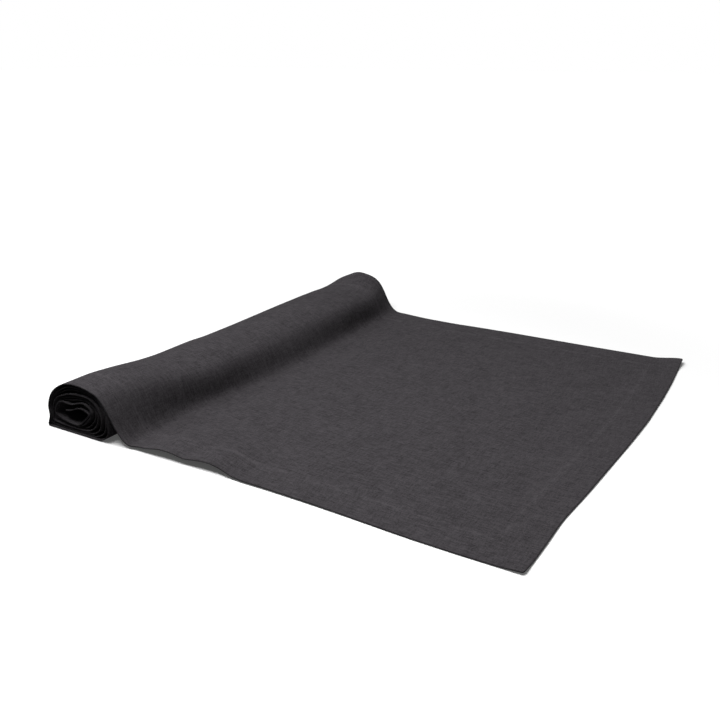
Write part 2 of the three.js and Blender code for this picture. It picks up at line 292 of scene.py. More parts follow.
def slope_point(share, across):
    """The slope. share runs from the roll, 0, to the foot on the table, 1."""
    leave = np.full(len(across), TURNS)
    top = wound_point(leave, across)
    before = wound_point(leave - SHORT_TURN, across)
    way = top - before
    way /= np.linalg.norm(way, axis=1)[:, None]
    steep = steep_share(across)
    shoulder = top + way * mix(SLOPE_SHOULDER_ENDS, SLOPE_SHOULDER_MIDDLE, steep)[:, None]
    foot_x = SLOPE_FOOT - ROLL_LEFT + foot_shift(across)
    foot = np.stack([foot_x, np.full(len(across), HEMMED_HEIGHT)], 1)
    toe = foot - np.stack([mix(SLOPE_TOE_ENDS, SLOPE_TOE_MIDDLE, steep), np.zeros(len(across))], 1)
    t = share[:, None]
    return (1 - t) ** 3 * top + 3 * (1 - t) ** 2 * t * shoulder + 3 * (1 - t) * t**2 * toe + t**3 * foot


# ---------------------------------------------------------------- the whole lay
# A place in the lay is a number: 0 to 1 along the loose tail, 1 to 2 round the roll, 2 to 3 down
# the slope and 3 to 4 over the laid part.


def lay_point(place, across):
    """The section at a place in the lay, as (from the roll's left side, above the table)."""
    place, across = np.broadcast_arrays(np.asarray(place, float), np.asarray(across, float))
    shape = place.shape
    place, across = place.ravel().copy(), across.ravel().copy()
    point = np.zeros((len(place), 2))
    tail, wound = place < 1, (place >= 1) & (place < 2)
    slope, laid = (place >= 2) & (place < 3), place >= 3
    if tail.any():
        point[tail] = tail_point(place[tail], across[tail])
    if wound.any():
        turns_out = mix(TAIL_TURN, TURNS, place[wound] - 1)
        point[wound] = wound_point(turns_out, across[wound])
    if slope.any():
        point[slope] = slope_point(place[slope] - 2, across[slope])
    if laid.any():
        share = place[laid] - 3
        foot = slope_point(np.ones(laid.sum()), across[laid])[:, 0]
        end = FREE_END - ROLL_LEFT + end_shift(across[laid])
        point[laid, 0] = mix(foot, end, share)
        point[laid, 1] = HEMMED_HEIGHT
    return point.reshape(*shape, 2)


def lay_lengths():
    """The distance along the cloth at closely spaced places of the lay, half-way across."""
    tail, wound, slope = (
        np.linspace(start, start + 1, count)[:-1] for start, count in ((0, 400), (1, 4000), (2, 200))
    )
    places = np.concatenate([tail, wound, slope, [3.0, 4.0]])
    line = lay_point(places, np.zeros(len(places)))
    steps = np.linalg.norm(np.diff(line, axis=0), axis=1)
    return places, np.concatenate([[0.0], np.cumsum(steps)])


PLACES, ALONG = lay_lengths()
CLOTH_LENGTH = ALONG[-1]
ALONG_TAIL, ALONG_LEAVE, ALONG_FOOT = (float(np.interp(mark, PLACES, ALONG)) for mark in (1, 2, 3))


# ---------------------------------------------------------------- the cloth's surface

CORNER_ROUNDING = 3.0
FIELD_SAG_ON_ROLL = 0.3
HEM_SHOULDER_FROM = 30.6
HEM_SHOULDER_TO = 46.0

# How far in from the long edges their ripples fade away.
NEAR_RIPPLE_REACH = 60.0
FAR_RIPPLE_REACH = 30.0
# The free end's corners turn up: (lift, how far in from the end it is highest, how far it spreads).
NEAR_TIP = (1.3, 8.0, 22.0)
FAR_TIP = (3.6, 4.0, 30.0)
# Soft waves over the laid cloth, along it and across it: (lift, wave, drift, drift's wave).
WAVES_ALONG = (0.16, 19.0, 1.2, 41.0)
WAVES_ACROSS = (0.13, 17.0, 0.9, 37.0)
WAVES_FROM_FOOT = 40.0
WAVES_FROM_EDGE = 50.0
# The laid part's lifts and pulls come in over LAID_FROM_FOOT before the slope's foot, and over
# LAID_OVER of the slope from LAID_FROM_PLACE, which is a place in the lay.
LAID_FROM_FOOT = 14.0
LAID_FROM_PLACE, LAID_OVER = 2.2, 0.6
# The step along and across the cloth for finding the way that it faces.
FACING_STEP = 0.4


def edge_distance(along, across):
    """How far a place is from the nearest of the cloth's four edges."""
    return np.minimum(np.minimum(along, CLOTH_LENGTH - along), HALF_WIDTH - np.abs(across))


def rounded_corners(along, across):
    """Draws the last few millimetres of each square corner in to a round one."""
    from_end = np.minimum(along, CLOTH_LENGTH - along)
    from_side = HALF_WIDTH - np.abs(across)
    near = (from_end < CORNER_ROUNDING) & (from_side < CORNER_ROUNDING)
    a = np.where(near, 1 - from_end / CORNER_ROUNDING, 0)
    b = np.where(near, 1 - from_side / CORNER_ROUNDING, 0)
    end_now = np.where(near, CORNER_ROUNDING * (1 - a * np.sqrt(1 - b * b / 2)), from_end)
    side_now = np.where(near, CORNER_ROUNDING * (1 - b * np.sqrt(1 - a * a / 2)), from_side)
    along = np.where(along < CLOTH_LENGTH / 2, end_now, CLOTH_LENGTH - end_now)
    return along, np.sign(across) * (HALF_WIDTH - side_now)


def turned_tip(tip, to_end, to_side):
    """A corner's lift, at a distance from the free end and from the corner's long edge."""
    lift, highest, spread = tip
    return lift * smooth(1 - np.hypot(to_end - highest, to_side) / spread)


def soft_waves(waves, run, beside):
    """Waves that follow each other along run and wander with the distance beside it."""
    lift, wave, drift, drift_wave = waves
    return lift * (1 + np.sin(run / wave + drift * np.sin(beside / drift_wave)))


def table_lift(x, across):
    """How far the laid cloth stands off the table: edge ripples, turned-up corners, soft waves."""
    run = x - SLOPE_FOOT
    near_ripple = near_lift(run) * np.exp(-(((across + HALF_WIDTH) / NEAR_RIPPLE_REACH) ** 2))
    far_ripple = far_lift(run) * np.exp(-(((across - HALF_WIDTH) / FAR_RIPPLE_REACH) ** 2))
    near_tip = turned_tip(NEAR_TIP, FREE_END - x, across + HALF_WIDTH)
    far_tip = turned_tip(FAR_TIP, FREE_END - x, across - HALF_WIDTH)
    waves = soft_waves(WAVES_ALONG, run, across) + soft_waves(WAVES_ACROSS, across, run)
    settled = smooth(run / WAVES_FROM_FOOT) * smooth((HALF_WIDTH - np.abs(across)) / WAVES_FROM_EDGE)
    return near_ripple + far_ripple + near_tip + far_tip + waves * settled


def pulled_in(x, across):
    """The long edges don't lie quite straight: each draws the cloth beside it inwards."""
    run = x - SLOPE_FOOT
    near_side, far_side = 0.5 - across / RUNNER_WIDTH, 0.5 + across / RUNNER_WIDTH
    return near_pull(run) * near_side**2 - far_pull(run) * far_side**2


def rest_point(along, across):
    """The lay of the cloth's right side at a distance along it and across it."""
    along, across = rounded_corners(along, across)
    place = np.interp(along, ALONG, PLACES)
    section = lay_point(place, across)
    turns_out = mix(TAIL_TURN, TURNS, np.clip(place - 1, 0, 1))
    turns_out -= TAIL_TURN * (1 - np.clip(place, 0, 1))
    slip = even_line(SIDE_SLIP, turns_out) * (1 - smooth(place - 2))
    x = ROLL_LEFT + section[..., 0]
    reach = smooth((x - SLOPE_FOOT + LAID_FROM_FOOT) / LAID_FROM_FOOT)
    reach *= smooth((place - LAID_FROM_PLACE) / LAID_OVER)
    z = section[..., 1] + table_lift(x, across) * reach
    return np.stack([x, across + slip + pulled_in(x, across) * reach, z], -1)


def outward(along, across):
    """The outward normal of the cloth's right side."""
    ahead, behind = np.minimum(along + FACING_STEP, CLOTH_LENGTH), np.maximum(along - FACING_STEP, 0.0)
    farther = np.minimum(across + FACING_STEP, HALF_WIDTH)
    nearer = np.maximum(across - FACING_STEP, -HALF_WIDTH)
    way = rest_point(ahead, across) - rest_point(behind, across)
    side = rest_point(along, farther) - rest_point(along, nearer)
    normal = np.cross(way, side)
    return normal / np.maximum(np.linalg.norm(normal, axis=-1), 1e-9)[..., None]


def field_sag(along, across):
    """Between its hems the cloth lies lower, by the thickness of the turnings."""
    shoulder = HEM_SHOULDER_TO - HEM_SHOULDER_FROM
    inside = smooth((edge_distance(along, across) - HEM_SHOULDER_FROM) / shoulder)
    laid = smooth((along - ALONG_FOOT) / LAID_FROM_FOOT)
    return inside * mix(FIELD_SAG_ON_ROLL, HEM_LIFT, laid)


def surface(along, across, offset):
    """A point of the runner, so far out from (or, below 0, in from) the cloth's right side."""
    along, across, offset = np.broadcast_arrays(*(np.asarray(v, float) for v in (along, across, offset)))
    off = offset - field_sag(along, across)
    return rest_point(along, across) + outward(along, across) * off[..., None]


# ---------------------------------------------------------------- meshes


def make_piece(name, points, faces, replaced, marks=None):
    """A piece from points in millimetres. marks are the cloth's own coordinates at each point."""
    mesh = bpy.data.meshes.new(name)
    mesh.from_pydata((np.asarray(points) * MM).tolist(), [], faces)
    mesh.polygons.foreach_set("use_smooth", [True] * len(mesh.polygons))
    if marks is not None:
        held = mesh.attributes.new("cloth_place", "FLOAT_VECTOR", "POINT")
        held.data.foreach_set("vector", (np.asarray(marks, np.float32) * MM).ravel())
    mesh.update()
    piece = bpy.data.objects.new(name, mesh)
    bpy.context.scene.collection.objects.link(piece)
    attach(piece, "root")
    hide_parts(*replaced)
    return piece


def grid_faces(index):
    """Quads over an array of point numbers, facing the way that rows cross columns."""
    a, b, c, d = index[:-1, :-1], index[1:, :-1], index[1:, 1:], index[:-1, 1:]
    return np.stack([a, b, c, d], -1).reshape(-1, 4)


# The mesh's lines beside each edge, from the edge in, and its steps beyond them.
EDGE_LINES = [0.0, 0.07, 0.2, 0.5, FOLD_REACH, SINGLE_FROM, 4.0, 9.0, 14.0, 19.0, 24.0, 28.0]
EDGE_LINES += [30.5, 33.0, 37.0, 42.0]
STEP_ACROSS = 6.3
STEP_TAIL = 2.2
STEP_WOUND = 3.2
STEP_OUTER_TURN = 2.4
STEP_SLOPE = 2.2
STEP_LAID = 5.5
# The outer turn's length of cloth, and how far the slope's steps run on past its foot.
OUTER_TURN_LENGTH = 215
FOOT_RUN_ON = 30
# The fold flattens over this much of the cloth after it leaves the roll.
FOLD_FLATTENS = 60


def even_steps(start, stop, step):
    count = max(1, round((stop - start) / step))
    return list(np.linspace(start, stop, count + 1)[1:])


def columns_across():
    """The mesh's lines from the near long edge to the far one."""
    half = EDGE_LINES + even_steps(EDGE_LINES[-1], HALF_WIDTH, STEP_ACROSS)
    near = [-HALF_WIDTH + line for line in half]
    return np.array(near + [-y for y in near[-2::-1]])


def stations_along():
    """The mesh's lines from the inner end to the free end."""
    last = EDGE_LINES[-1]
    outer_turn = ALONG_LEAVE - OUTER_TURN_LENGTH
    run_on = ALONG_FOOT + FOOT_RUN_ON
    stations = list(EDGE_LINES)
    stations += even_steps(last, ALONG_TAIL, STEP_TAIL)
    stations += even_steps(ALONG_TAIL, outer_turn, STEP_WOUND)
    stations += even_steps(outer_turn, ALONG_LEAVE, STEP_OUTER_TURN)
    stations += even_steps(ALONG_LEAVE, run_on, STEP_SLOPE)
    stations += even_steps(run_on, CLOTH_LENGTH - last, STEP_LAID)
    stations += [CLOTH_LENGTH - line for line in EDGE_LINES[-2::-1]]
    return np.array(stations)


def rim_drop(distance, height):
    """How far the folded edge curves down from the cloth's right side."""
    radius = height / 2
    short = np.clip(radius - distance, 0, radius)
    return radius - np.sqrt(radius**2 - short**2)


def make_cloth():
    """The one cloth, its right and wrong sides joined round the folded edges."""
    along, across = np.meshgrid(stations_along(), columns_across(), indexing="ij")
    distance = edge_distance(along, across)
    rows, columns = along.shape
    fold = mix(FOLD_HEIGHT_ON_ROLL, FOLD_HEIGHT, smooth((along - ALONG_LEAVE) / FOLD_FLATTENS))
    outer = surface(along, across, -rim_drop(distance, fold))
    folded = distance < (FOLD_REACH + SINGLE_FROM) / 2
    thick = mix(fold, HEMMED_HEIGHT, smooth(distance / FOLD_REACH))
    under = np.where(folded, rim_drop(distance, fold) - thick, -CLOTH)
    inner = surface(along, across, under)
    top = np.arange(rows * columns).reshape(rows, columns)
    bottom = top.copy()
    inside = (rows - 2, columns - 2)
    bottom[1:-1, 1:-1] = rows * columns + np.arange(inside[0] * inside[1]).reshape(inside)
    points = np.concatenate([outer.reshape(-1, 3), inner[1:-1, 1:-1].reshape(-1, 3)])
    place = np.stack([along, across, distance], -1)
    marks = np.concatenate([place.reshape(-1, 3), place[1:-1, 1:-1].reshape(-1, 3)])
    faces = np.concatenate([grid_faces(top), grid_faces(bottom)[:, ::-1]]).tolist()
    nodes = ["laid_panel", "slope_panel", "tucked_end"]
    nodes += [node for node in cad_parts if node.startswith("roll_turn_")]
    return make_piece("runner_cloth", points, faces, nodes, marks)


# The section of a hem's turnings: (share of its width, depth below the cloth's right side).
HEM_FROM = 1.4
HEM_TOP = CLOTH + SEAM_GAP
# Lines along the turnings, under the cloth's own, so that the two bend together.
HEM_LINES = [0.0]
HEM_LINES += [
    (line - HEM_FROM) / (HEM_WIDTH - HEM_FROM) for line in EDGE_LINES if HEM_FROM < line < HEM_WIDTH
]
HEM_FOLD = [
    (0.985, HEM_TOP), (0.996, HEM_TOP + 0.12), (1.0, HEM_TOP + 0.3), (0.996, HEM_TOP + 0.48),
    (0.985, HEMMED_HEIGHT),
]
HEM_SECTION = [
    *[(share, HEM_TOP) for share in HEM_LINES],
    *HEM_FOLD,
    *[(share, HEMMED_HEIGHT) for share in HEM_LINES[::-1]],
]
MITRE_GAP = 0.35
# A hem starts HEM_FIRST from the cloth's corner, and its next line isn't within HEM_CLEAR of that.
HEM_FIRST = HEM_FROM + MITRE_GAP + 0.3
HEM_CLEAR = 0.5


def make_hem(name, replaced, lines, to_end, place):
    """A hem's turnings. lines are distances along the hem, to_end how far each is from its nearer
    mitre, and place gives (along, across) from a distance along the hem and one in from its edge."""
    section = np.array(HEM_SECTION)
    width = np.minimum(HEM_WIDTH, to_end - MITRE_GAP)
    inset = HEM_FROM + (width[:, None] - HEM_FROM) * section[None, :, 0]
    along, across = place(np.broadcast_to(lines[:, None], inset.shape), inset)
    points = surface(along, across, np.broadcast_to(-section[:, 1], inset.shape))
    rows, columns = inset.shape
    index = np.arange(rows * columns).reshape(rows, columns)
    faces = grid_faces(np.concatenate([index, index[:, :1]], axis=1)).tolist()
    faces += [index[0].tolist(), index[-1, ::-1].tolist()]
    marks = np.stack([along, across, np.broadcast_to(inset, along.shape)], -1)
    flat = points.reshape(-1, 3)
    centre = flat.mean(0)
    volume = 0.0
    for face in faces[: columns * (rows - 1)]:
        a, b, c, d = (flat[i] - centre for i in face)
        volume += np.dot(a, np.cross(b, c)) + np.dot(a, np.cross(c, d))
    if volume < 0:
        faces = [face[::-1] for face in faces]
    return make_piece(name, flat, faces, replaced, marks.reshape(-1, 3))


def make_hems():
    hems = []
    stations = stations_along()
    last = CLOTH_LENGTH - HEM_FIRST
    between = stations[(stations > HEM_FIRST + HEM_CLEAR) & (stations < last - HEM_CLEAR)]
    lines = np.concatenate([[HEM_FIRST], between, [last]])
    for name, sign in (("near", -1), ("far", 1)):
        hems.append(
            make_hem(
                f"{name}_long_hem",
                [f"{name}_hem_wound", f"{name}_hem_laid"],
                lines,
                np.minimum(lines, CLOTH_LENGTH - lines),
                lambda line, inset, sign=sign: (line, sign * (HALF_WIDTH - inset)),
            )
        )
    columns = columns_across()
    side = HALF_WIDTH - HEM_FIRST
    lines = np.concatenate([[-side], columns[np.abs(columns) < side - HEM_CLEAR], [side]])
    for name, node, free in (
        ("free_end_turning", "free_end_hem", True),
        ("inner_end_turning", "inner_end_hem", False),
    ):
        hems.append(
            make_hem(
                name,
                [node],
                lines,
                HALF_WIDTH - np.abs(lines),
                lambda line, inset, free=free: (CLOTH_LENGTH - inset if free else inset, line),
            )
        )
    return hems


# ---------------------------------------------------------------- sewing

STITCH_PITCH = 3.1
STITCH_INSET = 28.8
# A stitch from end to end: (share of its half length, half thickness, height over the cloth).
STITCH_SECTION = [(-1.0, 0.07, -0.2), (-0.62, 0.16, -0.03), (0.62, 0.16, -0.03), (1.0, 0.07, -0.2)]
STITCH_HALF_LENGTH = 1.1
STITCH_SIDES = 5
# Each stitch is pulled into the linen by its own amount, up to STITCH_SINK.
STITCH_SINK = 0.22
STITCH_SEED = 5
# A mitre's seam starts and stops this far short of the corner and of the hem's inner fold.
MITRE_FROM_CORNER = 3.5
MITRE_FROM_FOLD = 2


def make_stitches(name, replaced, centre_along, centre_across, way, heights):
    """Rows of stitches. way is the direction of the row in the cloth, and heights says for each
    row how far out from the cloth's right side the thread lies, and which way it faces."""
    points, faces = [], []
    count = len(centre_along)
    rings = len(STITCH_SECTION)
    sunk = np.random.default_rng(STITCH_SEED).uniform(-STITCH_SINK, 0.0, count)
    for base, facing in heights:
        ring_points = []
        for share, half, height in STITCH_SECTION:
            for side in range(STITCH_SIDES):
                turn = 2 * math.pi * side / STITCH_SIDES
                run = share * STITCH_HALF_LENGTH
                wide = half * math.cos(turn)
                along = centre_along + way[0] * run - way[1] * wide
                across = centre_across + way[1] * run + way[0] * wide
                out = base + facing * (height + sunk + half * math.sin(turn))
                ring_points.append(surface(along, across, out))
        block = np.stack(ring_points, 1)
        start = sum(len(p) for p in points)
        points.append(block.reshape(-1, 3))
        each = rings * STITCH_SIDES
        for stitch in range(count):
            first = start + stitch * each
            for ring in range(rings - 1):
                for side in range(STITCH_SIDES):
                    after = (side + 1) % STITCH_SIDES
                    corner = first + ring * STITCH_SIDES
                    a, b = corner + side, corner + after
                    quad = [a, b, b + STITCH_SIDES, a + STITCH_SIDES]
                    faces.append(quad if facing > 0 else quad[::-1])
            cap = [first + side for side in range(STITCH_SIDES)]
            end = [first + (rings - 1) * STITCH_SIDES + side for side in range(STITCH_SIDES)]
            faces.append(cap[::-1] if facing > 0 else cap)
            faces.append(end if facing > 0 else end[::-1])
    return make_piece(name, np.concatenate(points), faces, replaced)


BOTH_FACES = [(0.0, 1), (-HEMMED_HEIGHT, -1)]
UNDER_FACE = [(-HEMMED_HEIGHT, -1)]


def stitch_row(start, stop):
    """Evenly spaced middles of stitches, from the start of a row to its stop."""
    count = int((stop - start) / STITCH_PITCH)
    return start + (np.arange(count) + 0.5) * (stop - start) / count


def make_sewing():
    rows = []
    inset = STITCH_INSET
    for name, sign in (("near", -1), ("far", 1)):
        along = stitch_row(inset, CLOTH_LENGTH - inset)
        across = np.full(len(along), sign * (HALF_WIDTH - inset))
        nodes = [f"{name}_side_stitching"]
        rows.append(make_stitches(f"{name}_hem_stitches", nodes, along, across, (1, 0), BOTH_FACES))
    for name, node, at in (
        ("free_end_stitches", "free_end_stitching", CLOTH_LENGTH - inset),
        ("inner_end_stitches", "inner_end_stitching", inset),
    ):
        across = stitch_row(-HALF_WIDTH + inset, HALF_WIDTH - inset)
        rows.append(make_stitches(name, [node], np.full(len(across), at), across, (0, 1), BOTH_FACES))
    lean = math.sqrt(0.5)
    diagonal = stitch_row(MITRE_FROM_CORNER, HEM_WIDTH - MITRE_FROM_FOLD)
    for name, sign in (("near", -1), ("far", 1)):
        across = sign * (HALF_WIDTH - diagonal)
        for end, along, ahead in (("free", CLOTH_LENGTH - diagonal, -lean), ("inner", diagonal, lean)):
            mitre = f"{name}_{end}_mitre"
            way = (ahead, -sign * lean)
            row = make_stitches(f"{mitre}_stitches", [f"{mitre}_seam"], along, across, way, UNDER_FACE)
            rows.append(row)
    return rows


# ---------------------------------------------------------------- finishes


def set_up(node, values):
    for key, value in values.items():
        node.inputs[key].default_value = value


class Bench:
    """Puts nodes into one node tree. An operand is a number, a vector or another node's socket."""

    def __init__(self, tree):
        self.tree = tree

    def node(self, kind, fields=None, **operands):
        made = self.tree.nodes.new(kind)
        for field, value in (fields or {}).items():
            setattr(made, field, value)
        for key, operand in operands.items():
            self.feed(made.inputs[key.replace("_", " ")], operand)
        return made

    def feed(self, socket, operand):
        if isinstance(operand, bpy.types.NodeSocket):
            self.tree.links.new(operand, socket)
        else:
            socket.default_value = operand

    def math(self, operation, *operands):
        made = self.tree.nodes.new("ShaderNodeMath")
        made.operation = operation
        for socket, operand in zip(made.inputs, operands):
            self.feed(socket, operand)
        return made.outputs[0]

    def join(self, x, y, z=0.0):
        return self.node("ShaderNodeCombineXYZ", X=x, Y=y, Z=z).outputs[0]

    def noise(self, place, scale, detail=2.0, roughness=0.5):
        made = self.node("ShaderNodeTexNoise", {"noise_dimensions": "3D"}, Vector=place)
        set_up(made, {"Scale": scale, "Detail": detail, "Roughness": roughness})
        return made.outputs[0]

    def ramp(self, value, low, high, to_low=0.0, to_high=1.0):
        made = self.node("ShaderNodeMapRange", {"interpolation_type": "SMOOTHSTEP"}, Value=value)
        limits = {"From Min": low, "From Max": high, "To Min": to_low, "To Max": to_high}
        for key, operand in limits.items():
            self.feed(made.inputs[key], operand)
        return made.outputs[0]

    def blend(self, share, a, b, how="MIX"):
        made = self.tree.nodes.new("ShaderNodeMix")
        made.data_type, made.blend_type = "RGBA", how
        sockets = [s for s in made.inputs if s.enabled]
        for socket, operand in zip(sockets, (share, a, b)):
            self.feed(socket, operand)
        return next(s for s in made.outputs if s.enabled)


def new_group(name, inputs, outputs):
    group = bpy.data.node_groups.new(name, "ShaderNodeTree")
    for label, kind, default in inputs:
        socket = group.interface.new_socket(label, in_out="INPUT", socket_type=kind)
        if default is not None:
            socket.default_value = default
    for label, kind in outputs:
        group.interface.new_socket(label, in_out="OUTPUT", socket_type=kind)
    bench = Bench(group)
    given = group.nodes.new("NodeGroupInput").outputs
    out = group.nodes.new("NodeGroupOutput").inputs
    return group, bench, given, out


# Across the yarns, per metre: how often they wander, and how often they are thick or thin.
DRIFT_PER_METRE = 90.0
THICK_PER_METRE = 640.0
# How far apart in the noise neighbouring yarns take their own tones.
YARN_APART = 3.71


def linen_weave_group():
    """Plain weave in uneven flax yarn. Place is the cloth's own (along, across) in metres."""
    group, b, given, out = new_group(
        "linen_weave",
        [
            ("Place", "NodeSocketVector", None),
            ("Yarns per Metre", "NodeSocketFloat", 1500.0),
            ("Slub Length", "NodeSocketFloat", 0.03),
            ("Wander", "NodeSocketFloat", 0.5),
        ],
        [
            ("Height", "NodeSocketFloat"),
            ("Yarn Tone", "NodeSocketFloat"),
            ("Streaks", "NodeSocketFloat"),
            ("Gaps", "NodeSocketFloat"),
        ],
    )
    parts = b.node("ShaderNodeSeparateXYZ", Vector=given["Place"]).outputs
    yarns, slub = given["Yarns per Metre"], b.math("DIVIDE", 1.0, given["Slub Length"])

    def yarn_set(run, beside, shift):
        """One set of yarns: its count across, its tone along each yarn, and its thickness."""
        slubs = b.math("MULTIPLY", run, slub)
        drift = b.noise(b.join(slubs, b.math("MULTIPLY", beside, DRIFT_PER_METRE), shift), 1.0, 2.0)
        wander = b.math("MULTIPLY", b.math("SUBTRACT", drift, 0.5), given["Wander"])
        counted = b.math("ADD", b.math("MULTIPLY", beside, yarns), wander)
        own = b.math("MULTIPLY", b.math("FLOOR", counted), YARN_APART)
        streak = b.noise(b.join(slubs, own, shift + 4.0), 1.0, 3.0, 0.6)
        thick = b.math("MULTIPLY", beside, THICK_PER_METRE)
        wide = b.noise(b.join(slubs, thick, shift + 9.0), 1.0, 2.0, 0.6)
        return counted, streak, wide

    warp, warp_tone, warp_wide = yarn_set(parts[0], parts[1], 1.7)
    weft, weft_tone, weft_wide = yarn_set(parts[1], parts[0], 23.3)
    warp_wave = b.math("SINE", b.math("MULTIPLY", warp, math.pi))
    weft_wave = b.math("SINE", b.math("MULTIPLY", weft, math.pi))
    cross = b.math("MULTIPLY", b.math("SIGN", warp_wave), b.math("SIGN", weft_wave))
    warp_round = b.math("POWER", b.math("ABSOLUTE", warp_wave), 0.6)
    weft_round = b.math("POWER", b.math("ABSOLUTE", weft_wave), 0.6)
    warp_over = b.math("MULTIPLY_ADD", b.math("MULTIPLY", cross, b.math("ABSOLUTE", weft_wave)), 0.5, 0.5)
    warp_high = b.math("MULTIPLY", warp_round, warp_over)
    weft_high = b.math("MULTIPLY", weft_round, b.math("SUBTRACT", 1.0, warp_over))
    on_top = b.math("GREATER_THAN", warp_high, weft_high)
    high = b.math("MAXIMUM", warp_high, weft_high)
    under = b.math("SUBTRACT", 1.0, on_top)
    tone = b.math("ADD", b.math("MULTIPLY", on_top, warp_tone), b.math("MULTIPLY", under, weft_tone))
    streaks = b.math("ADD", b.math("MULTIPLY", warp_wide, 0.58), b.math("MULTIPLY", weft_wide, 0.42))
    b.feed(out["Height"], b.math("MULTIPLY", high, b.math("ADD", 0.55, b.math("MULTIPLY", tone, 0.9))))
    b.feed(out["Yarn Tone"], tone)
    b.feed(out["Streaks"], streaks)
    # Gaps: where the yarns lie low, used for the painted shade between them.
    b.feed(out["Gaps"], b.ramp(high, 0.42, 0.12))
    return group


# Each mark's strongest and faintest distances, from the edge or from the seam, in metres. The fold's mark
# is painted shade along the folded edge.
FOLD_SHADE_DISTANCES = (0.0, 0.0014)
HEM_MARK = (0.0292, 0.0312)
SEAM_MARK = (0.0, 0.0042)


def hem_marks_group():
    """Marks that follow the runner's edges. Place is the cloth's own (along, across, distance to
    the nearest edge) in metres. Fold is painted shade on the folded edge itself, Hem the band of the
    turnings, Seam the pale line of the stitches, broken up, and Pucker the unevenness beside it."""
    group, b, given, out = new_group(
        "hem_marks",
        [("Place", "NodeSocketVector", None), ("Pucker Length", "NodeSocketFloat", 0.009)],
        [
            ("Fold", "NodeSocketFloat"),
            ("Hem", "NodeSocketFloat"),
            ("Seam", "NodeSocketFloat"),
            ("Pucker", "NodeSocketFloat"),
        ],
    )
    parts = b.node("ShaderNodeSeparateXYZ", Vector=given["Place"]).outputs
    edge = parts[2]
    # Fold: painted shade along the folded edge, strongest at the edge itself.
    b.feed(out["Fold"], b.ramp(edge, *FOLD_SHADE_DISTANCES[::-1]))
    b.feed(out["Hem"], b.ramp(edge, *HEM_MARK[::-1]))
    off_seam = b.math("ABSOLUTE", b.math("SUBTRACT", edge, STITCH_INSET * MM))
    flat_place = b.join(parts[0], parts[1], 0.0)
    uneven = b.noise(flat_place, 75.0, 3.0, 0.65)
    seam = b.ramp(off_seam, *SEAM_MARK[::-1])
    b.feed(out["Seam"], b.math("MULTIPLY", seam, b.ramp(uneven, 0.4, 0.62)))
    b.feed(out["Pucker"], b.math("MULTIPLY", b.ramp(off_seam, given["Pucker Length"], 0.0), uneven))
    return group


WEAVE = linen_weave_group()
HEM_MARKS = hem_marks_group()


def new_material(name):
    material = bpy.data.materials.new(name)
    material.use_nodes = True
    bench = Bench(material.node_tree)
    shader = next(n for n in material.node_tree.nodes if n.type == "BSDF_PRINCIPLED")
    return material, bench, shader


# How much each thing lightens the dye. Clouds and specks work both ways from the middle.
DYE_BY_YARN = 0.48
DYE_BY_STREAKS = 0.76
DYE_BY_CLOUDS = 0.13
DYE_BY_SPECKS = 0.72
DYE_BY_SEAM = 0.115
DYE_BY_HEM = 0.012
CLOUDS_PER_METRE = 34.0
SPECKS_PER_METRE = 800.0
# How dark the painted shade between yarns and on the folded edges is, and the darkest dye's share in that
# shade.
GAP_SHADE = 0.35
FOLD_SHADE = 0.55
SHADE_DEPTH = 0.3
# How far slubs and puckers stand up against the weave.
SLUB_RISE = 0.7
PUCKER_RISE = 1.2


